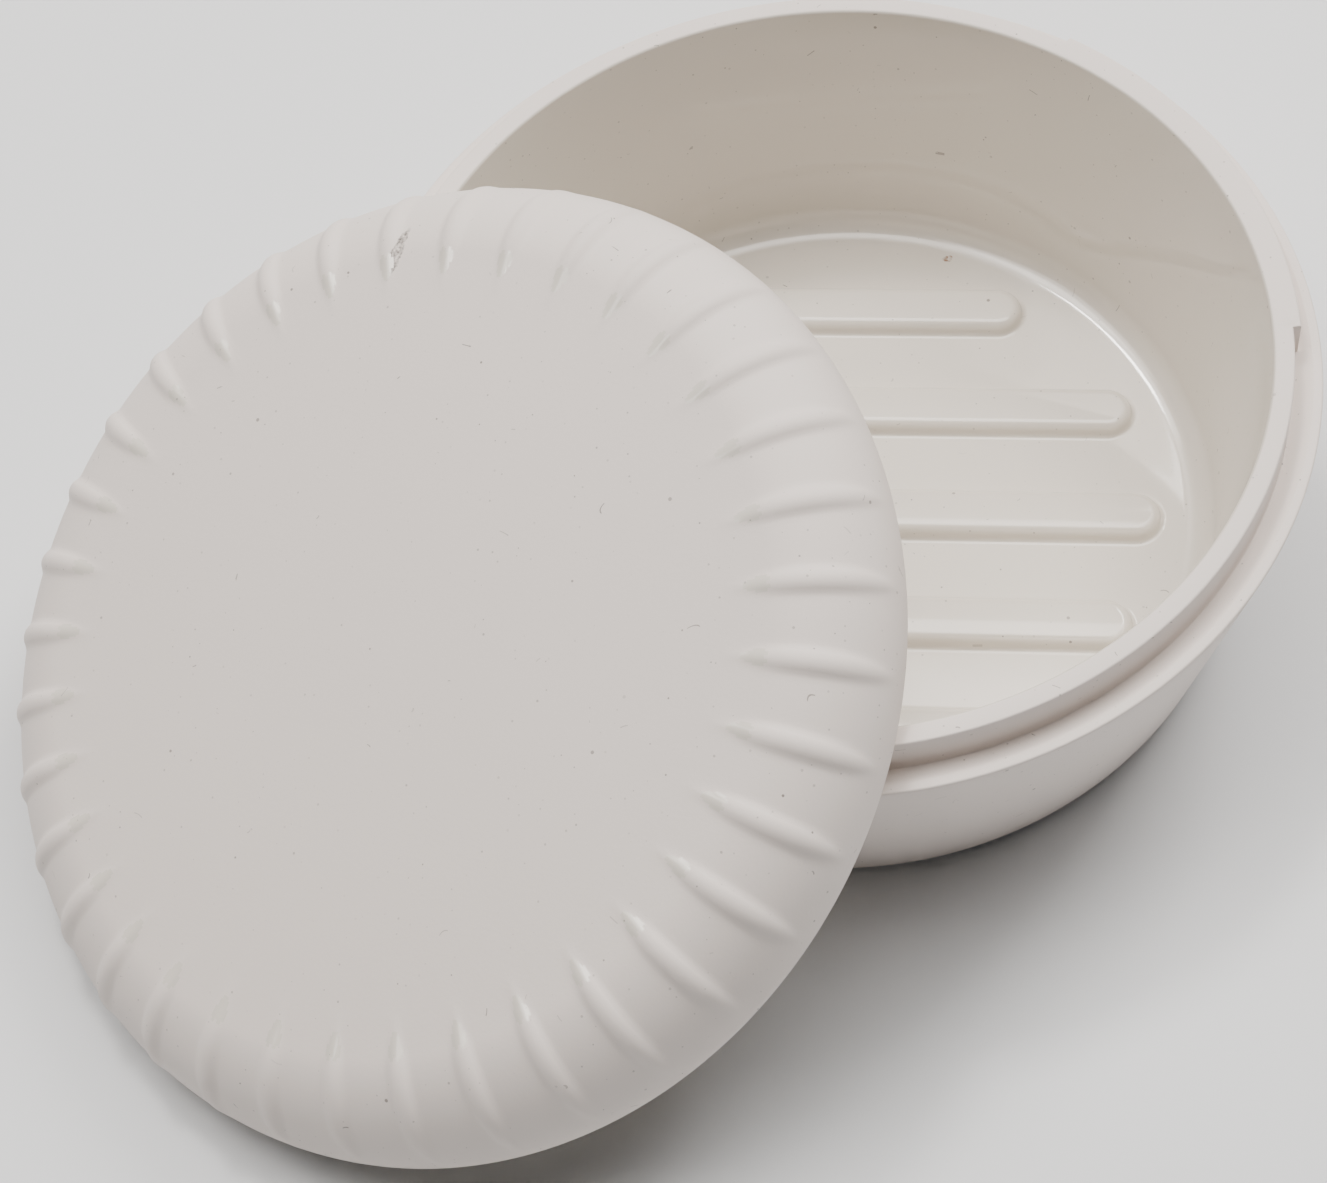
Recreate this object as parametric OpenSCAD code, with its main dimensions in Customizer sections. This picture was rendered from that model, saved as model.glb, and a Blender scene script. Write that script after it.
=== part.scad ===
// Round two-piece travel soap box: a tapered bowl with raised soap ribs, and its domed lid,
// taken off and leaning on the bowl's rim.
// Z is up and 0 is the surface that the box stands on. The bowl's axis is the Z axis,
// and its ribs run along X.

/* [Bowl] */
// Inside diameter at the rim
mouth_d = 85; // [70:1:110]
// Height from the table to the rim
base_h = 32.3; // [29:0.1:38]
// Thickness of the neck's wall at the rim
neck_wall = 2; // [1.5:0.1:3]
// Thickness of the floor
floor_t = 1.8; // [1.2:0.1:4]
// How far the inside wall leans in between the rim and the floor
inside_lean = 3.9; // [1:0.1:6]
// How far the outside wall leans in between the shoulder and the foot
outside_lean = 6.7; // [4.5:0.1:8]
// Radius between the inside wall and the floor
floor_fillet = 3; // [1:0.1:6]
// Radius of the outside edge at the foot
foot_round = 2.5; // [0.5:0.1:4]

/* [Soap ribs] */
// Number of ribs
rib_count = 5; // [1:2:5]
// Distance from rib to rib
rib_pitch = 13.1; // [10:0.1:14]
// Width of a rib at the floor
rib_w = 5.8; // [3:0.1:8]
// Height of a rib over the floor
rib_h = 1.5; // [0.8:0.1:3]
// Radius of a rib's upper edges
rib_round = 1.1; // [0.2:0.1:1.3]
// How far a rib's side leans in
rib_draft = 0.4; // [0.1:0.1:1]
// Flat floor left between a rib's end and the fillet
rib_end_gap = 2.4; // [0.5:0.1:6]

/* [Neck and shoulder] */
// Height of the neck, from its foot to the rim
neck_h = 4.4; // [4:0.1:7]
// Height of the rim over the seat that the closed lid stands on
seat_drop = 3.5; // [2.5:0.1:3.9]
// Radius of the rim's edges
rim_round = 0.35; // [0.1:0.05:0.8]
// Radius of the shoulder's outer edge
shoulder_round = 0.4; // [0.1:0.1:1.2]
// Number of closing lugs on the neck
lug_count = 2; // [2:1:3]
// How far a lug stands out from the neck
lug_t = 0.75; // [0.4:0.05:1.2]
// Angle that a lug covers
lug_angle = 56; // [20:1:60]
// Angle from the ribs' direction to the start of the first lug
lug_turn = 3.4; // [0:0.1:30]

/* [Lid] */
// Overall height of the lid without its ridges
lid_h = 11.5; // [11.1:0.1:13]
// Thickness of the lid's top
lid_top = 1.85; // [1.6:0.05:2.6]
// Thickness of the lid's skirt
lid_wall = 1.95; // [1.8:0.05:2.6]
// Radial play between the lugs and the skirt, and between the pads and the neck
fit_gap = 0.3; // [0.2:0.05:0.5]
// Height of the straight stretch at the skirt's edge
edge_band = 0.5; // [0.4:0.1:1]
// Radius from the skirt over to the top
lid_round = 9.8; // [8.5:0.1:10]
// Radius inside the lid from the skirt to the ceiling
ceiling_round = 6; // [5:0.1:6.5]
// Radius of the skirt's two lower edges
edge_round = 0.4; // [0.1:0.05:0.6]
// Angle that a closing pad inside the skirt covers
pad_angle = 36; // [10:1:60]
// Height of a pad
pad_h = 2.6; // [1:0.1:3]
// Height of a pad's lower face over the skirt's edge
pad_up = 0.5; // [0.3:0.1:0.8]

/* [Ridges of the lid] */
// Number of ridges round the lid
ridge_count = 36; // [12:1:36]
// How far a ridge's crest stands out
ridge_h = 0.65; // [0.3:0.05:1.2]
// Radius across a ridge
ridge_r = 1.9; // [1.3:0.1:2.2]
// Angle on the round of the lid where a ridge starts, over the horizontal
ridge_low = 19; // [15:1:40]
// Angle on the round of the lid where a ridge ends, over the horizontal
ridge_high = 110; // [90:1:115]
// Turn of the lid about its own axis
ridge_phase = 1.5; // [0:0.5:10]

/* [Leaning lid] */
// Direction, seen from above, in which the lid leans off the bowl
lean_azimuth = 220.5; // [0:0.5:360]
// Gap between the skirt's edge and the rim that it leans on
lean_gap = 0.3; // [0.2:0.05:0.6]
// Gap between the skirt's edge and the table
table_gap = 0.05; // [0:0.05:0.2]
// Gap between the lid's ceiling and the lug that reaches furthest into the leaning lid
ceiling_gap = 0.18; // [0.1:0.02:0.6]

/* [Hidden] */
$fn = 96;
bioplastic = [0.85, 0.83, 0.80];
arc_steps = 8;
sink = 0.4;
lug_slant = 0.3;

mouth_r = mouth_d/2;
neck_r = mouth_r + neck_wall;
lug_r = neck_r + lug_t;
skirt_r = lug_r + fit_gap;
body_r = skirt_r + lid_wall;
pad_r = neck_r + fit_gap;
seat_z = base_h - seat_drop;
neck_z = base_h - neck_h;
foot_r = body_r - outside_lean;
floor_r = mouth_r - inside_lean;

// The flat floor ends where the fillet starts, which depends on the wall's lean.
wall_angle = atan2(base_h - floor_t, inside_lean);
floor_flat_r = floor_r - floor_fillet*tan(wall_angle/2);
rib_cap_r = floor_flat_r - rib_end_gap - rib_w/2;

// The lid's crown is a large sphere that runs smoothly into the round over the skirt.
round_x = body_r - lid_round;
crown_k = lid_h - edge_band;
crown_r = (round_x*round_x + crown_k*crown_k - lid_round*lid_round)/(2*(crown_k - lid_round));
crown_z = lid_h - crown_r;
crown_half = asin(round_x/(crown_r - lid_round));
ceiling_r = crown_r - lid_top;
ceiling_x = skirt_r - ceiling_round;
ceiling_half = asin(ceiling_x/(ceiling_r - ceiling_round));
ceiling_z = crown_z + (ceiling_r - ceiling_round)*cos(ceiling_half);

// A ridge is part of a torus that is proud of the lid's round in the middle and sinks in at its ends.
ridge_mid = (ridge_low + ridge_high)/2;
ridge_half = (ridge_high - ridge_low)/2;
crest_r = lid_round + ridge_h;
ridge_shift = (crest_r*crest_r - lid_round*lid_round)/(2*(crest_r - lid_round*cos(ridge_half)));
ridge_major = crest_r - ridge_shift - ridge_r;
ridge_sweep = 2*ridge_half + 50;

// The leaning lid stands on the table with its lowest edge, and the inside of its skirt's edge
// lies on the outer edge of the rim at two points, one on each side. For a tilt t, these give the
// height of the lid's edge circle, its chord over the rim, and its distance from the bowl's axis.
rim_reach = neck_r + lean_gap;
function edge_z(t) = (body_r - edge_round)*sin(t) - edge_round*cos(t) + edge_round + table_gap;
function chord_x(t) = (base_h - edge_z(t))/sin(t);
function side_squared(t) = skirt_r*skirt_r - chord_x(t)*chord_x(t);
function away_x(t) = sqrt(max(0, rim_reach*rim_reach - side_squared(t))) + chord_x(t)*cos(t);

// How deep the rim reaches into the leaning lid. The lid slides down until its ceiling meets the rim.
function rim_depth(t) = side_squared(t) < 0 ? 0 :
    (base_h - edge_z(t))*cos(t) - (away_x(t) - lug_r)*sin(t);
function tilt_for(depth, low, high, steps = 40) =
    let (middle = (low + high)/2)
    steps == 0 ? middle :
    rim_depth(middle) < depth ? tilt_for(depth, middle, high, steps - 1)
                              : tilt_for(depth, low, middle, steps - 1);
lean_tilt = tilt_for(lid_h - lid_top - ceiling_gap, 5, 60);
lean_x = away_x(lean_tilt);
lid_z = edge_z(lean_tilt);

// Points of an arc from angle a0 to angle a1.
function arc(centre, r, a0, a1, steps = arc_steps) =
    [for (i = [0:steps]) centre + r*[cos(a0 + (a1 - a0)*i/steps), sin(a0 + (a1 - a0)*i/steps)]];

function unit(v) = v/norm(v);

// Points that round the corner b between a and c.
function rounded_corner(a, b, c, r) =
    let (u = unit(a - b), v = unit(c - b))
    let (half = acos(u*v)/2, side = cross(b - a, c - b) > 0 ? 1 : -1)
    let (centre = b + unit(u + v)*r/sin(half), start = b + u*r/tan(half) - centre)
    let (a0 = atan2(start[1], start[0]))
    arc(centre, r, a0, a0 + side*(180 - 2*half));

// An outline from corners of the form [x, y, radius].
function rounded_outline(p) =
    [for (i = [0:len(p) - 1])
        let (b = [p[i][0], p[i][1]])
        let (a = p[(i + len(p) - 1) % len(p)], c = p[(i + 1) % len(p)])
        each p[i][2] > 0 ? rounded_corner([a[0], a[1]], b, [c[0], c[1]], p[i][2]) : [b]];

// Half of a rib's section, from its middle to its side.
module rib_half_section() {
    polygon(rounded_outline([
        [0, -sink, 0],
        [rib_w/2, -sink, 0],
        [rib_w/2, 0, 0],
        [rib_w/2 - rib_draft, rib_h, rib_round],
        [0, rib_h, 0]
    ]));
}

// A raised rib with round ends, whose ends' centres are at half_len on each side.
module rib(half_len) {
    for (side = [-1, 1])
        translate([side*half_len, 0, 0])
            rotate_extrude()
                rib_half_section();
    translate([-half_len, 0, 0])
        rotate([90, 0, 90])
            linear_extrude(2*half_len)
                for (side = [0, 1])
                    mirror([side, 0, 0])
                        rib_half_section();
}

module soap_ribs() {
    for (i = [0:rib_count - 1]) {
        y = (i - (rib_count - 1)/2)*rib_pitch;
        if (abs(y) < rib_cap_r - rib_w/2)
            translate([0, y, floor_t])
                rib(sqrt(rib_cap_r*rib_cap_r - y*y));
    }
}

// The turned part of the bowl: foot, wall, shoulder with its seat, neck, inside wall and floor.
module bowl() {
    rotate_extrude()
        polygon(rounded_outline([
            [0, 0, 0],
            [foot_r, 0, foot_round],
            [body_r, seat_z, shoulder_round],
            [skirt_r, seat_z, 0],
            [neck_r, neck_z, 0],
            [neck_r, base_h, rim_round],
            [mouth_r, base_h, rim_round],
            [floor_r, floor_t, floor_fillet],
            [0, floor_t, 0]
        ]));
}

// A lug thickens the neck from the shoulder up to the rim. Its two ends slant.
module lug() {
    inner = neck_r - neck_wall/2;
    reach = 2*body_r;
    intersection() {
        rotate_extrude()
            polygon(rounded_outline([
                [inner, neck_z - sink, 0],
                [lug_r, neck_z - sink, 0],
                [lug_r, base_h, rim_round],
                [inner, base_h, 0]
            ]));
        translate([0, 0, neck_z - 2*sink])
            linear_extrude(neck_h + 3*sink)
                polygon([
                    inner*[cos(-lug_slant), sin(-lug_slant)],
                    (lug_r + sink)*[cos(lug_slant), sin(lug_slant)],
                    reach*[cos(lug_angle/3), sin(lug_angle/3)],
                    reach*[cos(lug_angle*2/3), sin(lug_angle*2/3)],
                    (lug_r + sink)*[cos(lug_angle - lug_slant), sin(lug_angle - lug_slant)],
                    inner*[cos(lug_angle + lug_slant), sin(lug_angle + lug_slant)]
                ]);
    }
}

module base() {
    color(bioplastic) {
        bowl();
        soap_ribs();
        for (i = [0:lug_count - 1])
            rotate([0, 0, lug_turn + i*360/lug_count])
                lug();
    }
}

// The lid's outer form, solid down to its edge.
module lid_dome() {
    rotate_extrude()
        polygon(concat(
            [[0, 0]],
            rounded_corner([0, 0], [body_r, 0], [body_r, edge_band], edge_round),
            arc([round_x, edge_band], lid_round, 0, 90 - crown_half, 3*arc_steps),
            arc([0, crown_z], crown_r, 90 - crown_half, 90)
        ));
}

// The space inside the lid. Its mouth flares over the skirt's inner edge.
module lid_cavity() {
    rotate_extrude()
        polygon(concat(
            [[0, -sink], [skirt_r + edge_round, -sink]],
            arc([skirt_r + edge_round, edge_round], edge_round, 270, 180),
            arc([ceiling_x, ceiling_z], ceiling_round, 0, 90 - ceiling_half, 2*arc_steps),
            arc([0, crown_z], ceiling_r, 90 - ceiling_half, 90)
        ));
}

module ridge() {
    translate([round_x + ridge_shift*cos(ridge_mid), 0, edge_band + ridge_shift*sin(ridge_mid)])
        rotate([90, 0, 0])
            rotate([0, 0, ridge_mid - ridge_sweep/2])
                rotate_extrude(angle = ridge_sweep)
                    translate([ridge_major, 0])
                        circle(r = ridge_r, $fn = 32);
}

// A pad inside the skirt, which turns against the lugs when the lid is closed.
module closing_pad() {
    rotate([0, 0, -pad_angle/2])
        rotate_extrude(angle = pad_angle)
            translate([pad_r, pad_up])
                square([skirt_r + sink - pad_r, pad_h]);
}

// The lid in its own place: its edge at 0 and its axis along Z.
module lid_form() {
    difference() {
        union() {
            lid_dome();
            for (i = [0:ridge_count - 1])
                rotate([0, 0, i*360/ridge_count])
                    ridge();
        }
        lid_cavity();
    }
    for (i = [0:lug_count - 1])
        rotate([0, 0, i*360/lug_count])
            closing_pad();
}

module lid() {
    color(bioplastic)
        rotate([0, 0, lean_azimuth])
            translate([lean_x, 0, lid_z])
                rotate([0, lean_tilt, 0])
                    rotate([0, 0, ridge_phase])
                        lid_form();
}

base();
lid();
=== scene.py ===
"""Round travel soap box: an open bowl with soap ribs, and its ridged lid leaning on the rim."""

from math import acos, asin, atan2, cos, hypot, pi, radians, sin, sqrt, tan

import bmesh
import bpy
from bpy.props import FloatProperty, FloatVectorProperty, IntProperty, PointerProperty
from mathutils import Matrix, Vector


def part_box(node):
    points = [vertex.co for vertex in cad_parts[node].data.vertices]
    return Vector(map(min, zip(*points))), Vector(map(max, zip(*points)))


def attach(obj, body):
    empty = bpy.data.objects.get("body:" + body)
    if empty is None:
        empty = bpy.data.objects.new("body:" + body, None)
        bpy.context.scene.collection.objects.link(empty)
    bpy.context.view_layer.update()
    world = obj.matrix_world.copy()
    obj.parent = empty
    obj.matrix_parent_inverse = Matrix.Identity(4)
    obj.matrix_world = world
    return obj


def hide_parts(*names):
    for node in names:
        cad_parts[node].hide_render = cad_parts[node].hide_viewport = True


bl_info = {
    "name": "Travel Soap Box",
    "version": (1, 0, 0),
    "blender": (4, 5, 0),
    "location": "View3D > Sidebar > Soap Box",
    "description": "Builds a round soap box with a ribbed bowl and a lid that leans on its rim",
    "category": "Object",
}

MM = 0.001

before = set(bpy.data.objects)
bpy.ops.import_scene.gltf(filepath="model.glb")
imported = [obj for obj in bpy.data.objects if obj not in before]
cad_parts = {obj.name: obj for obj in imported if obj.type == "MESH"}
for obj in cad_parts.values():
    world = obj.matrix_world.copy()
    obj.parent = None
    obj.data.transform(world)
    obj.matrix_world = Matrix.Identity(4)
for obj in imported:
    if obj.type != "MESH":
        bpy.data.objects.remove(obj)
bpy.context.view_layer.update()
RIM_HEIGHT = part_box("base")[1][2] / MM

SHARP_ANGLE = radians(40.0)
SAME_POINT = 1e-7
X_AXIS = (1.0, 0.0, 0.0)
Z_AXIS = (0.0, 0.0, 1.0)
CENTRE = (0.0, 0.0, 0.0)

LID_SCUFF = {"colour": (0.14, 0.12, 0.105), "centre": (-40.7, 4.2, 41.7), "along": (-1.84, -5.38, -1.5),
             "half_length": 3.1, "half_width": 0.6}
FLOOR_GRAIN = {"colour": (0.27, 0.11, 0.035), "centre": (10.9, 34.3, 2.1), "along": X_AXIS,
               "half_length": 0.6, "half_width": 0.45}


class BowlSizes(bpy.types.PropertyGroup):
    """Sizes of the bowl, with its neck and closing lugs"""

    mouth_radius: FloatProperty(name="Mouth radius", description="Inside radius at the rim, in mm",
                                default=42.5, min=35.0, max=55.0)
    height: FloatProperty(name="Height", description="Height of the rim over the table, in mm",
                          default=RIM_HEIGHT, min=25.0, max=40.0)
    neck_wall: FloatProperty(name="Neck wall", description="Thickness of the neck's wall, in mm",
                             default=2.0, min=1.0, max=3.0)
    floor: FloatProperty(name="Floor", description="Thickness of the floor, in mm",
                         default=1.8, min=1.0, max=4.0)
    inside_lean: FloatProperty(name="Inside lean", description="How far the inside wall leans in, in mm",
                               default=3.9, min=0.0, max=8.0)
    outside_lean: FloatProperty(name="Outside lean", description="How far the outside wall leans in, in mm",
                                default=6.7, min=0.0, max=9.0)
    neck_height: FloatProperty(name="Neck height", description="From the neck's foot to the rim, in mm",
                               default=4.4, min=2.0, max=8.0)
    seat_drop: FloatProperty(name="Seat drop", description="From the shoulder's seat to the rim, in mm",
                             default=3.5, min=1.0, max=6.0)
    lug: FloatProperty(name="Lug", description="How far a closing lug stands out, in mm",
                       default=0.75, min=0.0, max=1.5)
    lug_angle: FloatProperty(name="Lug angle", description="Angle that a closing lug covers",
                             default=radians(56.0), subtype="ANGLE")
    lug_turn: FloatProperty(name="Lug turn", description="Angle from the ribs to the first lug's start",
                            default=radians(3.4), subtype="ANGLE")
    lugs: IntProperty(name="Lugs", description="Number of closing lugs", default=2, min=0, max=4)


class RibSizes(bpy.types.PropertyGroup):
    """Sizes of the soap ribs"""

    count: IntProperty(name="Ribs", description="Number of soap ribs", default=5, min=1, max=5)
    pitch: FloatProperty(name="Pitch", description="Distance from rib to rib, in mm",
                         default=13.1, min=8.0, max=16.0)
    width: FloatProperty(name="Width", description="Width of a rib at the floor, in mm",
                         default=5.8, min=2.0, max=8.0)
    height: FloatProperty(name="Height", description="Height of a rib over the floor, in mm",
                          default=1.5, min=0.5, max=3.0)
    cap_radius: FloatProperty(name="End radius", description="Radius on which the ribs' ends lie, in mm",
                              default=30.66, min=10.0, max=34.0)


class LidSizes(bpy.types.PropertyGroup):
    """Sizes of the lid and its ridges, and how it leans"""

    radius: FloatProperty(name="Radius", description="Outside radius of the skirt, in mm",
                          default=47.5, min=38.0, max=60.0)
    height: FloatProperty(name="Height", description="Height of the lid without its ridges, in mm",
                          default=11.5, min=8.0, max=16.0)
    wall: FloatProperty(name="Wall", description="Thickness of the skirt, in mm",
                        default=1.95, min=1.0, max=3.0)
    top: FloatProperty(name="Top", description="Thickness of the top, in mm",
                       default=1.85, min=1.0, max=3.0)
    band: FloatProperty(name="Band", description="Height of the straight stretch at the edge, in mm",
                        default=0.5, min=0.4, max=2.0)
    round: FloatProperty(name="Round", description="Radius from the skirt over to the top, in mm",
                         default=9.8, min=4.0, max=10.4)
    ridges: IntProperty(name="Ridges", description="Number of ridges round the lid",
                        default=36, min=6, max=60)
    ridge_height: FloatProperty(name="Ridge height", description="How far a ridge stands out, in mm",
                                default=0.56, min=0.0, max=1.4)
    ridge_radius: FloatProperty(name="Ridge radius", description="Radius across a ridge, in mm",
                                default=1.6, min=1.0, max=3.0)
    ridge_low: FloatProperty(name="Ridge start", description="Angle on the round where a ridge starts",
                             default=radians(14.0), subtype="ANGLE")
    ridge_high: FloatProperty(name="Ridge end", description="Angle on the round where a ridge ends",
                              default=radians(104.0), subtype="ANGLE")
    phase: FloatProperty(name="Turn", description="Turn of the lid about its own axis",
                         default=radians(1.5), subtype="ANGLE")
    tilt: FloatProperty(name="Tilt", description="Tilt of the leaning lid off the horizontal",
                        default=radians(26.403), subtype="ANGLE")
    azimuth: FloatProperty(name="Direction", description="Direction in which the lid leans off the bowl",
                           default=radians(220.5), subtype="ANGLE")
    lean_gap: FloatProperty(name="Gap", description="Gap between the skirt and the rim, in mm",
                            default=0.3, min=0.0, max=1.0)
    table_gap: FloatProperty(name="Table gap", description="Gap between the skirt and the table, in mm",
                             default=0.05, min=0.0, max=1.0)


class Looks(bpy.types.PropertyGroup):
    """Colours of the plastic and the floor, and the lights"""

    outside: FloatVectorProperty(name="Outside", description="Colour of the matte outside faces",
                                 subtype="COLOR", default=(0.83, 0.752, 0.70), min=0.0, max=1.0)
    inside: FloatVectorProperty(name="Inside", description="Colour of the smooth inside faces",
                                subtype="COLOR", default=(0.80, 0.745, 0.665), min=0.0, max=1.0)
    speck: FloatVectorProperty(name="Specks", description="Colour of the specks in the plastic",
                               subtype="COLOR", default=(0.10, 0.075, 0.06), min=0.0, max=1.0)
    floor: FloatVectorProperty(name="Floor", description="Colour of the floor",
                               subtype="COLOR", default=(0.84, 0.855, 0.87), min=0.0, max=1.0)
    light: FloatVectorProperty(name="Light", description="Colour of the lights",
                               subtype="COLOR", default=(1.0, 0.965, 0.93), min=0.0, max=1.0)
    ceiling_power: FloatProperty(name="Ceiling light", description="Power of the wide light overhead",
                                 default=11.5, min=0.0, unit="POWER")
    left_power: FloatProperty(name="Left light", description="Power of the soft light on the lid's side",
                              default=2.5, min=0.0, unit="POWER")
    window_power: FloatProperty(name="Window light", description="Power of the soft light from behind",
                                default=6.4, min=0.0, unit="POWER")
    small_power: FloatProperty(name="Small light", description="Power of the small light for highlights",
                               default=3.3, min=0.0, unit="POWER")
    sky: FloatProperty(name="Sky", description="Strength of the even light from all round",
                       default=0.04, min=0.0, max=4.0)


class OutlinePen:
    """Draws the half section of a turned piece in the XZ plane, from its axis back to its axis."""

    def __init__(self, x, z):
        self.mesh = bmesh.new()
        self.tip = self.mesh.verts.new((x * MM, 0.0, z * MM))

    def line(self, x, z, parts=1):
        """Draws a straight line to (x, z), in equal parts."""
        start = self.tip.co.copy()
        goal = Vector((x * MM, 0.0, z * MM))
        for part in range(parts):
            step = bmesh.ops.extrude_vert_indiv(self.mesh, verts=[self.tip])
            self.tip = step["verts"][0]
            self.tip.co = start.lerp(goal, (part + 1) / parts)

    def arc(self, cx, cz, angle, steps):
        """Swings the tip about (cx, cz). A positive angle goes counter-clockwise with X to the right."""
        turn = bmesh.ops.spin(self.mesh, geom=[self.tip], cent=(cx * MM, 0.0, cz * MM),
                              axis=(0.0, -1.0, 0.0), angle=angle, steps=steps, use_duplicate=False)
        self.tip = turn["geom_last"][0]

    def corner(self, x, z, next_x, next_z, radius, steps=6, parts=1):
        """Draws a line towards the corner (x, z) and rounds it into the way to the next point."""
        here = Vector((self.tip.co.x, self.tip.co.z)) / MM
        corner = Vector((x, z))
        back = (here - corner).normalized()
        ahead = (Vector((next_x, next_z)) - corner).normalized()
        half = acos(max(-1.0, min(1.0, back.dot(ahead)))) / 2
        start = corner + back * radius / tan(half)
        centre = corner + (back + ahead).normalized() * radius / sin(half)
        side = 1.0 if (-back).cross(ahead) > 0 else -1.0
        self.line(start.x, start.y, parts)
        self.arc(centre.x, centre.y, side * (pi - 2 * half), steps)

    def turned(self, sectors, steps, carve=None):
        """Spins one sector about Z, carves it, repeats it all round and closes the solid."""
        mesh = self.mesh
        sector = 2 * pi / sectors
        bmesh.ops.spin(mesh, geom=mesh.verts[:] + mesh.edges[:], cent=CENTRE, axis=Z_AXIS,
                       angle=sector, steps=steps, use_duplicate=False)
        if carve:
            carve(mesh)
        bmesh.ops.spin(mesh, geom=mesh.verts[:] + mesh.edges[:] + mesh.faces[:], cent=CENTRE, axis=Z_AXIS,
                       angle=2 * pi - sector, steps=sectors - 1, use_duplicate=True)
        bmesh.ops.remove_doubles(mesh, verts=mesh.verts[:], dist=SAME_POINT)
        bmesh.ops.recalc_face_normals(mesh, faces=mesh.faces[:])
        return mesh


def finish_piece(mesh, name, materials):
    """Turns a bmesh into a smooth object at the origin, crisp at its sharp edges."""
    for face in mesh.faces:
        face.smooth = True
    data = bpy.data.meshes.new(name)
    mesh.to_mesh(data)
    mesh.free()
    data.set_sharp_from_angle(angle=SHARP_ANGLE)
    for material in materials:
        data.materials.append(material)
    piece = bpy.data.objects.new(name, data)
    bpy.context.scene.collection.objects.link(piece)
    return piece


def add_shell(mesh, shell):
    """Adds a closed shell to a mesh."""
    data = bpy.data.meshes.new("shell")
    shell.to_mesh(data)
    shell.free()
    mesh.from_mesh(data)
    bpy.data.meshes.remove(data)


def smooth_step(x):
    """Goes softly from 0 at x = 0 to 1 at x = 1."""
    x = max(0.0, min(1.0, x))
    return x * x * (3 - 2 * x)


def link(tree, source, target):
    """Joins an output socket to an input socket."""
    tree.links.new(source, target)


def maths_node(tree, operation, a, b=None):
    """Adds a maths node to a node tree. Each value is a number or an output socket."""
    node = tree.nodes.new("ShaderNodeMath")
    node.operation = operation
    for index, value in enumerate((a, b)):
        if isinstance(value, float):
            node.inputs[index].default_value = value
        elif value is not None:
            link(tree, value, node.inputs[index])
    return node.outputs[0]


def vector_node(tree, operation, a, b=None):
    """Adds a vector maths node that is fed by one or two output sockets."""
    node = tree.nodes.new("ShaderNodeVectorMath")
    node.operation = operation
    link(tree, a, node.inputs[0])
    if b is not None:
        link(tree, b, node.inputs[1])
    return node


def noise_node(tree, place, scale, detail=2.0):
    """Adds a noise texture that is read at a place."""
    noise = tree.nodes.new("ShaderNodeTexNoise")
    noise.inputs["Scale"].default_value = scale
    noise.inputs["Detail"].default_value = detail
    link(tree, place, noise.inputs["Vector"])
    return noise


def start_group(name, inputs, outputs):
    """Makes a node group with the named sockets, and returns it with its first nodes."""
    group = bpy.data.node_groups.new(name, "ShaderNodeTree")
    for side, sockets in (("INPUT", inputs), ("OUTPUT", outputs)):
        for label, kind in sockets.items():
            group.interface.new_socket(label, in_out=side, socket_type="NodeSocket" + kind)
    given = group.nodes.new("NodeGroupInput")
    result = group.nodes.new("NodeGroupOutput")
    place = group.nodes.new("ShaderNodeTexCoord").outputs["Object"]
    return group, given, result, place


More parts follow.
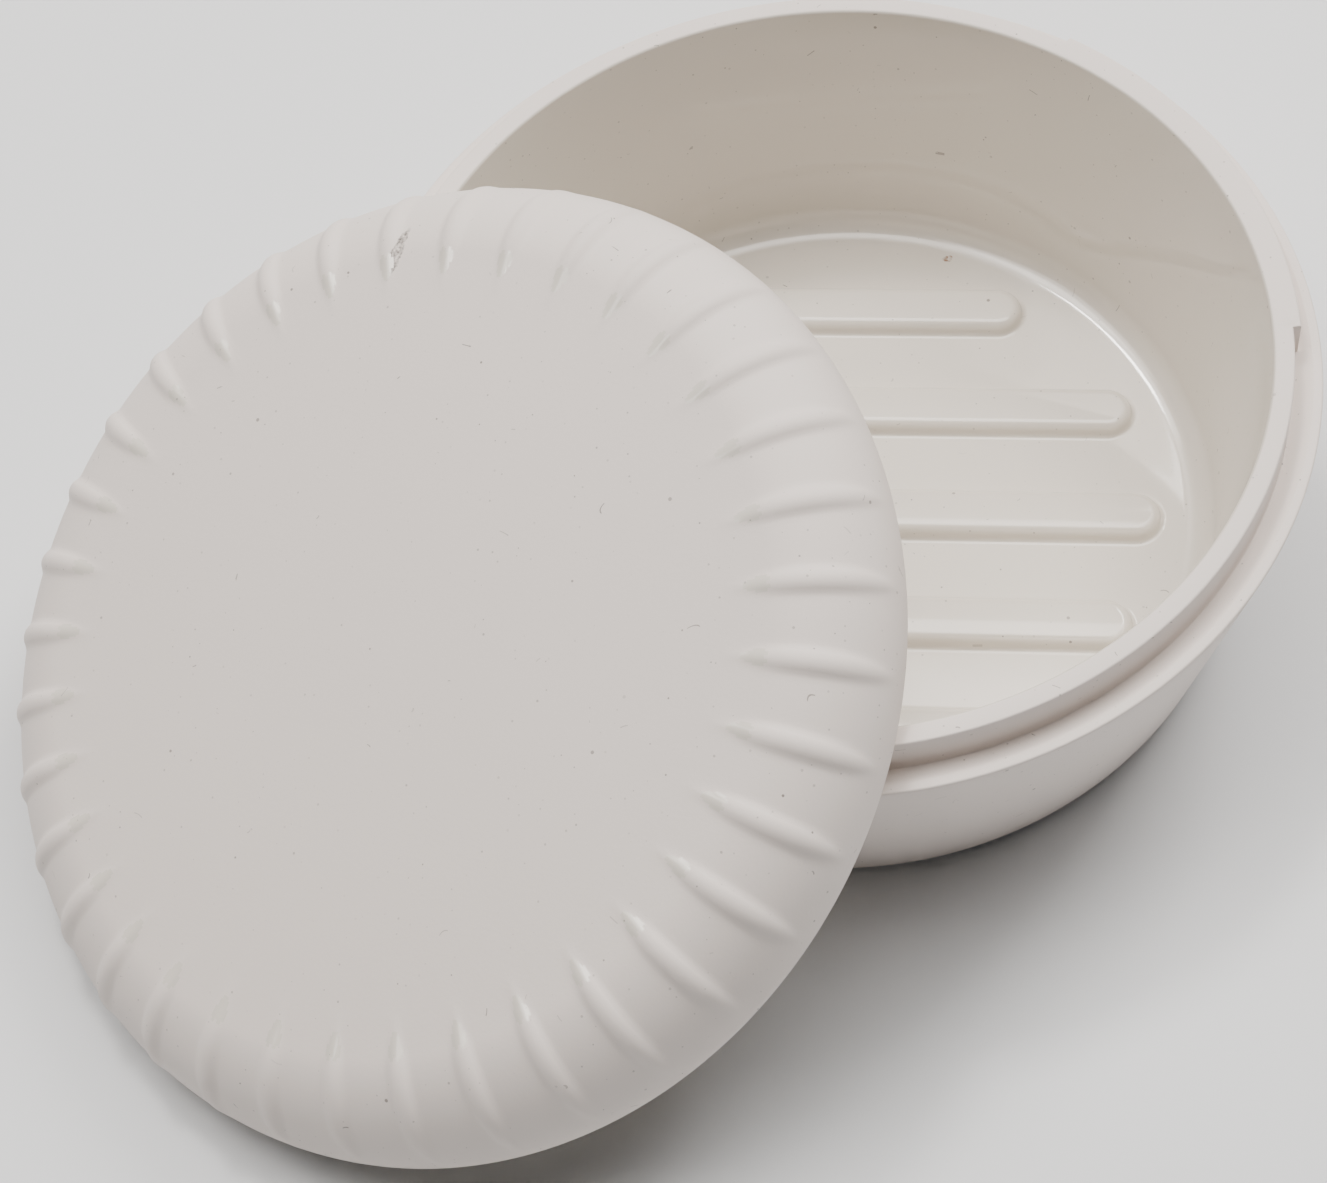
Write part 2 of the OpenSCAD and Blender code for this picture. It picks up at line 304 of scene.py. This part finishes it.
def speck_group():
    """Node group with the specks, fibres and faint mottling of the moulded bioplastic."""
    name = "mineral_specks"
    if name in bpy.data.node_groups:
        return bpy.data.node_groups[name]
    group, given, result, place = start_group(
        name,
        {"Colour": "Color", "Speck Colour": "Color", "Speck Size": "Float", "Mottling": "Float"},
        {"Colour": "Color", "Grain": "Float"})
    nodes = group.nodes
    faintest = 0.15
    variety = 0.6
    fibre_bend = 900.0
    fibre_half_width = 0.04 * MM
    fibre_depth = 0.5 * MM

    def maths(operation, a, b=None):
        return maths_node(group, operation, a, b)

    def cells(scale, shift):
        """Cells with one random point each: its distance, three random numbers and the way to it."""
        moved = nodes.new("ShaderNodeMapping")
        moved.inputs["Location"].default_value = shift
        voronoi = nodes.new("ShaderNodeTexVoronoi")
        voronoi.inputs["Scale"].default_value = scale
        chance = nodes.new("ShaderNodeSeparateColor")
        link(group, place, moved.inputs["Vector"])
        link(group, moved.outputs["Vector"], voronoi.inputs["Vector"])
        link(group, voronoi.outputs["Color"], chance.inputs["Color"])
        away = vector_node(group, "SUBTRACT", moved.outputs["Vector"], voronoi.outputs["Position"])
        return voronoi, chance, away.outputs["Vector"]

    def strength_of(mask, chance):
        """Lets each speck be faint or strong."""
        return maths("MULTIPLY", mask, maths("ADD", maths("MULTIPLY", chance, variety), faintest))

    def dots(scale, shift, size):
        """Mask of round specks of many sizes."""
        voronoi, chance, _ = cells(scale, shift)
        limit = maths("MULTIPLY", chance.outputs["Red"], size)
        mask = maths("LESS_THAN", voronoi.outputs["Distance"], limit)
        return strength_of(mask, chance.outputs["Green"])

    def fibres(scale, shift, reach):
        """Mask of short curved strokes, each turned its own way."""
        voronoi, chance, away = cells(scale, shift)
        whole_turns = vector_node(group, "SCALE", voronoi.outputs["Color"])
        whole_turns.inputs["Scale"].default_value = 6 * pi
        turned = nodes.new("ShaderNodeVectorRotate")
        turned.rotation_type = "EULER_XYZ"
        parts = nodes.new("ShaderNodeSeparateXYZ")
        link(group, away, turned.inputs["Vector"])
        link(group, whole_turns.outputs["Vector"], turned.inputs["Rotation"])
        link(group, turned.outputs["Vector"], parts.inputs["Vector"])
        x = maths("ABSOLUTE", parts.outputs["X"])
        sag = maths("MULTIPLY", maths("POWER", x, 2.0), fibre_bend)
        off = maths("ABSOLUTE", maths("SUBTRACT", parts.outputs["Y"], sag))
        thin = maths("LESS_THAN", off, fibre_half_width)
        short = maths("LESS_THAN", x, reach)
        deep = maths("LESS_THAN", maths("ABSOLUTE", parts.outputs["Z"]), fibre_depth)
        mask = maths("MULTIPLY", thin, maths("MULTIPLY", short, deep))
        return strength_of(mask, chance.outputs["Blue"])

    size = given.outputs["Speck Size"]
    dust = dots(900.0, (0.005, 0.019, 0.002), maths("MULTIPLY", size, 1.8))
    layers = (dots(620.0, (0.013, 0.007, 0.021), size),
              maths("MULTIPLY", dust, 0.6),
              fibres(150.0, (0.003, 0.011, 0.005), 0.42 * MM),
              fibres(210.0, (0.017, 0.002, 0.009), 0.2 * MM))
    marks = dots(330.0, CENTRE, size)
    for layer in layers:
        marks = maths("MAXIMUM", marks, layer)
    cloud = noise_node(group, place, 60.0, 3.0)
    mottle = maths("MULTIPLY", maths("SUBTRACT", cloud.outputs["Fac"], 0.5), given.outputs["Mottling"])
    shade = vector_node(group, "SCALE", given.outputs["Colour"])
    paint = nodes.new("ShaderNodeMix")
    paint.data_type = "RGBA"
    link(group, maths("ADD", mottle, 1.0), shade.inputs["Scale"])
    link(group, marks, paint.inputs["Factor"])
    link(group, shade.outputs["Vector"], paint.inputs["A"])
    link(group, given.outputs["Speck Colour"], paint.inputs["B"])
    link(group, paint.outputs["Result"], result.inputs["Colour"])
    link(group, noise_node(group, place, 2600.0).outputs["Fac"], result.inputs["Grain"])
    return group


def rub_mark_group():
    """Node group with one long mark in the surface whose edge is uneven and crumbly."""
    name = "rub_mark"
    if name in bpy.data.node_groups:
        return bpy.data.node_groups[name]
    group, given, result, place = start_group(
        name,
        {"Colour": "Color", "Mark Colour": "Color", "Centre": "Vector", "Along": "Vector",
         "Half Length": "Float", "Half Width": "Float"},
        {"Colour": "Color"})
    wander = MM
    crumb_limit = 0.3
    crumb_contrast = 2.5
    edge_contrast = 3.0

    def maths(operation, a, b=None):
        return maths_node(group, operation, a, b)

    wave = noise_node(group, place, 900.0)
    crumbs = noise_node(group, place, 3000.0)
    bent = vector_node(group, "MULTIPLY_ADD", wave.outputs["Color"])
    bent.inputs[1].default_value = (wander, wander, wander)
    link(group, place, bent.inputs[2])
    away = vector_node(group, "SUBTRACT", bent.outputs["Vector"], given.outputs["Centre"]).outputs["Vector"]
    length = vector_node(group, "DOT_PRODUCT", away, given.outputs["Along"]).outputs["Value"]
    distance = vector_node(group, "LENGTH", away).outputs["Value"]
    along_squared = maths("POWER", maths("ABSOLUTE", length), 2.0)
    across_squared = maths("SUBTRACT", maths("POWER", distance, 2.0), along_squared)
    long_part = maths("DIVIDE", along_squared, maths("POWER", given.outputs["Half Length"], 2.0))
    wide_part = maths("DIVIDE", across_squared, maths("POWER", given.outputs["Half Width"], 2.0))
    edge = maths("SUBTRACT", 1.0, maths("ADD", long_part, wide_part))
    blot = maths("MINIMUM", maths("MAXIMUM", maths("MULTIPLY", edge, edge_contrast), 0.0), 1.0)
    crumbly = maths("MULTIPLY", maths("SUBTRACT", crumbs.outputs["Fac"], crumb_limit), crumb_contrast)
    paint = group.nodes.new("ShaderNodeMix")
    paint.data_type = "RGBA"
    link(group, maths("MULTIPLY", blot, maths("MAXIMUM", crumbly, 0.0)), paint.inputs["Factor"])
    link(group, given.outputs["Colour"], paint.inputs["A"])
    link(group, given.outputs["Mark Colour"], paint.inputs["B"])
    link(group, paint.outputs["Result"], result.inputs["Colour"])
    return group


def bioplastic(name, colour, roughness, coat, grain, mark):
    """Off-white speckled plastic with one mark. A grain over 0, in mm, etches its surface."""
    if name in bpy.data.materials:
        return bpy.data.materials[name]
    material = bpy.data.materials.new(name)
    material.use_nodes = True
    tree = material.node_tree
    shader = tree.nodes["Principled BSDF"]
    shader.inputs["Roughness"].default_value = roughness
    shader.inputs["IOR"].default_value = 1.46
    shader.inputs["Coat Weight"].default_value = coat
    shader.inputs["Coat Roughness"].default_value = 0.07
    shader.inputs["Coat IOR"].default_value = 1.8
    specks = tree.nodes.new("ShaderNodeGroup")
    specks.node_tree = speck_group()
    specks.inputs["Colour"].default_value = (*colour, 1.0)
    specks.inputs["Speck Colour"].default_value = (*bpy.context.scene.soapbox_looks.speck, 1.0)
    specks.inputs["Speck Size"].default_value = 0.065
    specks.inputs["Mottling"].default_value = 0.03
    rub = tree.nodes.new("ShaderNodeGroup")
    rub.node_tree = rub_mark_group()
    rub.inputs["Mark Colour"].default_value = (*mark["colour"], 1.0)
    rub.inputs["Centre"].default_value = Vector(mark["centre"]) * MM
    rub.inputs["Along"].default_value = Vector(mark["along"]).normalized()
    rub.inputs["Half Length"].default_value = mark["half_length"] * MM
    rub.inputs["Half Width"].default_value = mark["half_width"] * MM
    link(tree, specks.outputs["Colour"], rub.inputs["Colour"])
    link(tree, rub.outputs["Colour"], shader.inputs["Base Color"])
    if grain > 0:
        bump = tree.nodes.new("ShaderNodeBump")
        bump.inputs["Strength"].default_value = 1.0
        bump.inputs["Distance"].default_value = grain * MM
        link(tree, specks.outputs["Grain"], bump.inputs["Height"])
        link(tree, bump.outputs["Normal"], shader.inputs["Normal"])
    return material


def outside_plastic():
    """The etched plastic of the outside faces, with the lid's scuff."""
    return bioplastic("etched_bioplastic", bpy.context.scene.soapbox_looks.outside,
                      roughness=0.62, coat=0.0, grain=0.012, mark=LID_SCUFF)


def inside_plastic():
    """The polished plastic of the inside faces and ribs, with a grain on the bowl's floor."""
    return bioplastic("polished_bioplastic", bpy.context.scene.soapbox_looks.inside,
                      roughness=0.28, coat=0.8, grain=0.0, mark=FLOOR_GRAIN)


class SOAPBOX_OT_bowl(bpy.types.Operator):
    """Turn the bowl with its neck, shoulder, smooth inside and closing lugs"""

    bl_idname = "soapbox.bowl"
    bl_label = "Bowl"

    SECTORS = 18
    STEPS = 20

    def execute(self, context):
        s = context.scene.soapbox_bowl
        lid = context.scene.soapbox_lid
        neck = s.mouth_radius + s.neck_wall
        seat = s.height - s.seat_drop
        foot = s.height - s.neck_height
        step = lid.radius - 0.5 * lid.wall
        floor_radius = s.mouth_radius - s.inside_lean
        foot_round = 2.5
        shoulder_round = 0.22
        seat_round = 0.3
        groove_round = 0.12
        rim_round = 0.22
        mouth_round = 0.4
        floor_round = 3.0
        pen = OutlinePen(0.0, 0.0)
        pen.corner(lid.radius - s.outside_lean, 0.0, lid.radius, seat, foot_round, 10, parts=6)
        pen.corner(lid.radius, seat, step, seat, shoulder_round, 4, parts=8)
        pen.corner(step, seat, neck, foot, seat_round, 3)
        pen.corner(neck, foot, neck, s.height, groove_round, 3)
        pen.corner(neck, s.height, s.mouth_radius, s.height, rim_round, 4, parts=3)
        pen.corner(s.mouth_radius, s.height, floor_radius, s.floor, mouth_round, 6)
        pen.corner(floor_radius, s.floor, 0.0, s.floor, floor_round, 16, parts=8)
        pen.line(0.0, s.floor, parts=8)
        mesh = pen.turned(self.SECTORS, self.STEPS)
        self.raise_lugs(mesh, s, neck, foot)
        for face in mesh.faces:
            if self.is_inside(face.calc_center_median(), s):
                face.material_index = 1
        bowl = finish_piece(mesh, "bowl_shell", [outside_plastic(), inside_plastic()])
        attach(bowl, "base")
        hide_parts("base")
        return {"FINISHED"}

    @staticmethod
    def is_inside(centre, s):
        """Tells the polished inside by its radius, which shrinks with the depth under the rim."""
        slack = 0.15
        radius = hypot(centre.x, centre.y) / MM
        height = centre.z / MM
        depth = (s.height - height) / (s.height - s.floor)
        return height > s.floor / 2 and radius < s.mouth_radius + slack - s.inside_lean * depth

    def raise_lugs(self, mesh, s, neck, foot):
        """Moves the neck's outer face out where the closing lugs are.

        The two columns of points beside a lug's end are first moved up to it, so that the end is crisp.
        """
        skin = 0.4
        ramp = 0.35
        below = 0.1
        nearly = 0.999
        bevel = radians(0.08)
        column = 2 * pi / (self.SECTORS * self.STEPS)
        ends = []
        for index in range(s.lugs):
            start = s.lug_turn + index * 2 * pi / s.lugs
            ends += [start, start + s.lug_angle]
        for vert in mesh.verts:
            radius = hypot(vert.co.x, vert.co.y)
            angle = atan2(vert.co.y, vert.co.x) % (2 * pi)
            for end in ends:
                off = (angle - end + pi) % (2 * pi) - pi
                if abs(off) < column * nearly:
                    angle = end + (bevel if off > 0 else -bevel)
            vert.co.x = radius * cos(angle)
            vert.co.y = radius * sin(angle)
            radius /= MM
            if vert.co.z / MM < foot - below or abs(radius - neck) > skin:
                continue
            if any((angle - start) % (2 * pi) < s.lug_angle for start in ends[::2]):
                near = smooth_step((radius - neck + skin) / ramp)
                grow = (radius + s.lug * near) / radius
                vert.co.x *= grow
                vert.co.y *= grow


class SOAPBOX_OT_soap_ribs(bpy.types.Operator):
    """Lay the raised ribs with round ends that keep the soap off the floor"""

    bl_idname = "soapbox.soap_ribs"
    bl_label = "Soap Ribs"

    def execute(self, context):
        s = context.scene.soapbox_ribs
        floor = context.scene.soapbox_bowl.floor
        ribs = bmesh.new()
        for index in range(s.count):
            y = (index - (s.count - 1) / 2) * s.pitch
            half = sqrt(s.cap_radius ** 2 - y * y)
            self.add_rib(ribs, s, y, half, floor)
        piece = finish_piece(ribs, "soap_ribs", [inside_plastic()])
        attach(piece, "base")
        return {"FINISHED"}

    @staticmethod
    def add_rib(ribs, s, y, half, floor):
        """Spins the rib's section into a round button, then pulls its two halves apart."""
        sunk = floor - 0.3
        foot = floor + 0.004
        crest = floor + s.height
        foot_blend = 0.55
        crest_round = 1.1
        foot_half = s.width / 2 - 0.05
        crest_half = s.width / 2 - 0.35
        rim = s.width / 2 + foot_blend
        middle = 1e-6
        pen = OutlinePen(0.0, sunk)
        pen.line(rim, sunk)
        pen.line(rim, foot)
        pen.corner(foot_half, foot, crest_half, crest, foot_blend, 5)
        pen.corner(crest_half, crest, 0.0, crest, crest_round, 9)
        pen.line(0.0, crest)
        rib = pen.turned(sectors=4, steps=12)
        for vert in rib.verts:
            if abs(vert.co.x) > middle:
                vert.co.x += half * MM if vert.co.x > 0 else -half * MM
            vert.co.y += y * MM
        add_shell(ribs, rib)


class SOAPBOX_OT_lid(bpy.types.Operator):
    """Turn the domed lid, raise its ridges and lean it on the bowl's rim"""

    bl_idname = "soapbox.lid"
    bl_label = "Lid"

    def execute(self, context):
        s = context.scene.soapbox_lid
        edge = 0.4
        inner_round = 6.0
        coarse_share = 0.88
        round_x = s.radius - s.round
        rise = s.height - s.band
        crown = (round_x ** 2 + rise ** 2 - s.round ** 2) / (2 * (rise - s.round))
        crown_z = s.height - crown
        crown_half = asin(round_x / (crown - s.round))
        ceiling = crown - s.top
        skirt = s.radius - s.wall
        inner_x = skirt - inner_round
        inner_half = asin(inner_x / (ceiling - inner_round))
        inner_z = crown_z + (ceiling - inner_round) * cos(inner_half)
        coarse = crown_half * coarse_share
        pen = OutlinePen(0.0, s.height)
        pen.arc(0.0, crown_z, -coarse, 8)
        pen.arc(0.0, crown_z, coarse - crown_half, 12)
        pen.arc(round_x, s.band, crown_half - pi / 2, 44)
        pen.line(s.radius, edge)
        pen.arc(s.radius - edge, edge, -pi / 2, 5)
        pen.line(skirt + edge, 0.0)
        pen.arc(skirt + edge, edge, -pi / 2, 5)
        pen.line(skirt, inner_z, parts=2)
        pen.arc(inner_x, inner_z, pi / 2 - inner_half, 12)
        pen.arc(0.0, crown_z, inner_half, 8)
        mesh = pen.turned(sectors=s.ridges, steps=20,
                          carve=lambda part: self.raise_ridge(part, s, round_x, crown, crown_half))
        self.add_pads(mesh, skirt)
        for face in mesh.faces:
            if self.is_inside(face, s, skirt):
                face.material_index = 1
        place = self.leaning_place(context, s, skirt, edge)
        bmesh.ops.transform(mesh, matrix=place, verts=mesh.verts[:])
        lid = finish_piece(mesh, "lid_shell", [outside_plastic(), inside_plastic()])
        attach(lid, "lid")
        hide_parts("lid")
        return {"FINISHED"}

    @staticmethod
    def is_inside(face, s, skirt):
        """Tells the polished inside, whose faces lie within the skirt and look down or inwards."""
        slack = 0.05
        centre = face.calc_center_median()
        within = hypot(centre.x, centre.y) / MM < skirt + slack and centre.z / MM < s.height - s.top / 2
        outward = centre.x * face.normal.x + centre.y * face.normal.y
        return within and (face.normal.z < 0 or outward < 0)

    @staticmethod
    def raise_ridge(mesh, s, round_x, crown, crown_half):
        """Pushes the outer skin out along its normal into a leaf-shaped ridge that blends in softly.

        A ridge is highest in its middle, sinks in at its low end and runs out to a point at its high
        end. The skin's columns are first drawn together at the ridge.
        """
        blend = 0.12
        gather = 0.55
        point = 1.4
        beyond = 1.2
        end_fade = 0.12
        flank = 0.85
        flank_fade = 0.14
        nearly = 0.999
        slack = 0.05
        crown_slack = 1.0
        plain_radius = 30.0
        middle = (s.ridge_low + s.ridge_high) / 2
        half = (s.ridge_high - s.ridge_low) / 2
        pitch = 2 * pi / s.ridges
        round_end = s.round * sin(crown_half)
        for vert in mesh.verts:
            radius = hypot(vert.co.x, vert.co.y)
            if radius < plain_radius * MM:
                continue
            angle = atan2(vert.co.y, vert.co.x)
            angle -= gather / s.ridges * sin(s.ridges * angle)
            vert.co.x = radius * cos(angle)
            vert.co.y = radius * sin(angle)
            radius /= MM
            out = radius - round_x
            up = vert.co.z / MM - s.band
            reach = hypot(out, up)
            on_crown = out < round_end
            under_skin = reach < s.round - slack or on_crown and up < s.round - crown_slack
            turn = atan2(up, out) if out > 0 else pi / 2 - out / s.round
            away = turn - middle
            if up < 0.0 or under_skin or abs(away) > beyond * half:
                continue
            if on_crown:
                normal = Vector((radius / crown, sqrt(1.0 - (radius / crown) ** 2)))
            else:
                normal = Vector((out, up)) / reach
            share = 1.0 - (away / half) ** 2
            lift = s.ridge_height * (share if away < 0 or share < 0 else share ** point)
            off = (angle + pitch / 2) % pitch - pitch / 2
            across = min(abs(off * radius), s.ridge_radius * nearly)
            proud = lift - s.ridge_radius + sqrt(s.ridge_radius ** 2 - across ** 2)
            push = (proud + sqrt(proud ** 2 + blend ** 2)) / 2
            push *= 1.0 - smooth_step((across / s.ridge_radius - flank) / flank_fade)
            push *= smooth_step((beyond * half - abs(away)) / (end_fade * half))
            grow = (radius + normal.x * push) / radius
            vert.co.x *= grow
            vert.co.y *= grow
            vert.co.z += normal.y * push * MM

    @staticmethod
    def add_pads(mesh, skirt):
        """Adds the two closing pads inside the skirt."""
        wide = 1.2
        tall = 2.6
        low = 0.5
        buried = 0.45
        angle = radians(36.0)
        for index in range(2):
            pad = bmesh.new()
            end = bmesh.ops.create_grid(pad, x_segments=1, y_segments=1, size=0.5)["verts"]
            for vert in end:
                vert.co = Vector(((skirt + buried + (vert.co.x - 0.5) * wide) * MM, 0.0,
                                  (low + (vert.co.y + 0.5) * tall) * MM))
            turn = Matrix.Rotation(index * pi - angle / 2, 4, "Z")
            bmesh.ops.transform(pad, matrix=turn, verts=end)
            start = bmesh.ops.duplicate(pad, geom=pad.faces[:])["geom"]
            bmesh.ops.spin(pad, geom=start, cent=CENTRE, axis=Z_AXIS,
                           angle=angle, steps=36, use_duplicate=False)
            bmesh.ops.remove_doubles(pad, verts=pad.verts[:], dist=SAME_POINT)
            bmesh.ops.recalc_face_normals(pad, faces=pad.faces[:])
            add_shell(mesh, pad)

    @staticmethod
    def leaning_place(context, s, skirt, edge):
        """Where the lid lies: its edge on the table and the inside of its skirt on the rim."""
        bowl = context.scene.soapbox_bowl
        neck = bowl.mouth_radius + bowl.neck_wall
        rise = (s.radius - edge) * sin(s.tilt) - edge * cos(s.tilt) + edge + s.table_gap
        chord = (bowl.height - rise) / sin(s.tilt)
        half_squared = skirt ** 2 - chord ** 2
        away = sqrt((neck + s.lean_gap) ** 2 - half_squared) + chord * cos(s.tilt)
        return (Matrix.Rotation(s.azimuth, 4, "Z")
                @ Matrix.Translation((away * MM, 0.0, rise * MM))
                @ Matrix.Rotation(s.tilt, 4, "Y")
                @ Matrix.Rotation(s.phase, 4, "Z"))


class SOAPBOX_OT_stage(bpy.types.Operator):
    """Set the floor, the soft lights and the camera"""

    bl_idname = "soapbox.stage"
    bl_label = "Stage"

    def execute(self, context):
        looks = context.scene.soapbox_looks
        self.add_floor(looks)
        self.add_lights(context, looks)
        self.add_camera(context)
        return {"FINISHED"}

    @staticmethod
    def add_floor(looks):
        half_side = 2.5
        mesh = bmesh.new()
        bmesh.ops.create_grid(mesh, x_segments=1, y_segments=1, size=half_side)
        data = bpy.data.meshes.new("floor")
        mesh.to_mesh(data)
        mesh.free()
        paper = bpy.data.materials.new("pale_paper")
        paper.use_nodes = True
        shader = paper.node_tree.nodes["Principled BSDF"]
        shader.inputs["Base Color"].default_value = (*looks.floor, 1.0)
        shader.inputs["Roughness"].default_value = 0.85
        shader.inputs["Specular IOR Level"].default_value = 0.2
        data.materials.append(paper)
        floor = bpy.data.objects.new("floor", data)
        bpy.context.scene.collection.objects.link(floor)

    @staticmethod
    def add_lights(context, looks):
        def soft_box(name, azimuth, elevation, size, power):
            """Sets a light 1 m from the soap box, turned towards it."""
            lamp = bpy.data.lights.new(name, "AREA")
            lamp.shape = "RECTANGLE"
            lamp.size, lamp.size_y = size
            lamp.energy = power
            lamp.color = looks.light
            level = cos(radians(elevation))
            place = Vector((level * cos(radians(azimuth)), level * sin(radians(azimuth)),
                            sin(radians(elevation))))
            box = bpy.data.objects.new(name, lamp)
            box.location = place
            box.rotation_euler = (-place).to_track_quat("-Z", "Y").to_euler()
            context.scene.collection.objects.link(box)

        soft_box("ceiling_light", 90.0, 78.0, (1.2, 0.6), looks.ceiling_power)
        soft_box("left_light", 180.0, 62.0, (0.5, 0.5), looks.left_power)
        soft_box("window_light", 56.0, 46.0, (0.4, 0.4), looks.window_power)
        soft_box("small_light", 117.0, 64.0, (0.15, 0.15), looks.small_power)
        world = bpy.data.worlds.new("even_sky")
        world.use_nodes = True
        sky = world.node_tree.nodes["Background"]
        sky.inputs["Color"].default_value = (0.86, 0.94, 1.0, 1.0)
        sky.inputs["Strength"].default_value = looks.sky
        context.scene.world = world

    @staticmethod
    def add_camera(context):
        """The camera that was fitted to the rim, ribs and lid outline of the photograph."""
        elevation = radians(58.345)
        roll = radians(9.768)
        turn = radians(12.75)
        across, along, distance = 19.583, 20.878, 289.824
        focal_length = 3000.0
        image_width = 1327.0
        sensor_width = 36.0
        right = Vector(X_AXIS)
        up = Vector((0.0, sin(elevation), cos(elevation)))
        back = Vector((0.0, -cos(elevation), sin(elevation)))
        place = -across * right - along * up + distance * back
        rolled_right = cos(roll) * right - sin(roll) * up
        rolled_up = sin(roll) * right + cos(roll) * up
        axes = Matrix((rolled_right, rolled_up, back)).transposed().to_4x4()
        spin = Matrix.Rotation(turn, 4, "Z")
        lens = bpy.data.cameras.new("photo_camera")
        lens.sensor_width = sensor_width
        lens.lens = focal_length / image_width * sensor_width
        lens.clip_start = 0.01
        lens.clip_end = 20.0
        camera = bpy.data.objects.new("photo_camera", lens)
        lift = Matrix.Translation((0.0, 0.0, RIM_HEIGHT * MM))
        camera.matrix_world = lift @ spin @ Matrix.Translation(place * MM) @ axes
        context.scene.collection.objects.link(camera)
        context.scene.camera = camera


class SOAPBOX_PT_panel(bpy.types.Panel):
    """Lists the soap box's pieces and their sizes"""

    bl_idname = "SOAPBOX_PT_panel"
    bl_label = "Soap Box"
    bl_space_type = "VIEW_3D"
    bl_region_type = "UI"
    bl_category = "Soap Box"

    def draw(self, context):
        layout = self.layout
        for group in ("soapbox_bowl", "soapbox_ribs", "soapbox_lid", "soapbox_looks"):
            box = layout.box()
            sizes = getattr(context.scene, group)
            for name in sizes.__annotations__:
                box.prop(sizes, name)
        for operator in PIECES + (SOAPBOX_OT_stage,):
            layout.operator(operator.bl_idname)


PIECES = (SOAPBOX_OT_bowl, SOAPBOX_OT_soap_ribs, SOAPBOX_OT_lid)
CLASSES = (BowlSizes, RibSizes, LidSizes, Looks) + PIECES + (SOAPBOX_OT_stage, SOAPBOX_PT_panel)


def register():
    for item in CLASSES:
        bpy.utils.register_class(item)
    bpy.types.Scene.soapbox_bowl = PointerProperty(type=BowlSizes)
    bpy.types.Scene.soapbox_ribs = PointerProperty(type=RibSizes)
    bpy.types.Scene.soapbox_lid = PointerProperty(type=LidSizes)
    bpy.types.Scene.soapbox_looks = PointerProperty(type=Looks)


def unregister():
    for name in ("soapbox_bowl", "soapbox_ribs", "soapbox_lid", "soapbox_looks"):
        delattr(bpy.types.Scene, name)
    for item in reversed(CLASSES):
        bpy.utils.unregister_class(item)


def main():
    register()
    bpy.ops.soapbox.bowl()
    bpy.ops.soapbox.soap_ribs()
    bpy.ops.soapbox.lid()
    bpy.ops.soapbox.stage()
    bpy.context.view_layer.update()


if __name__ == "__main__":
    main()
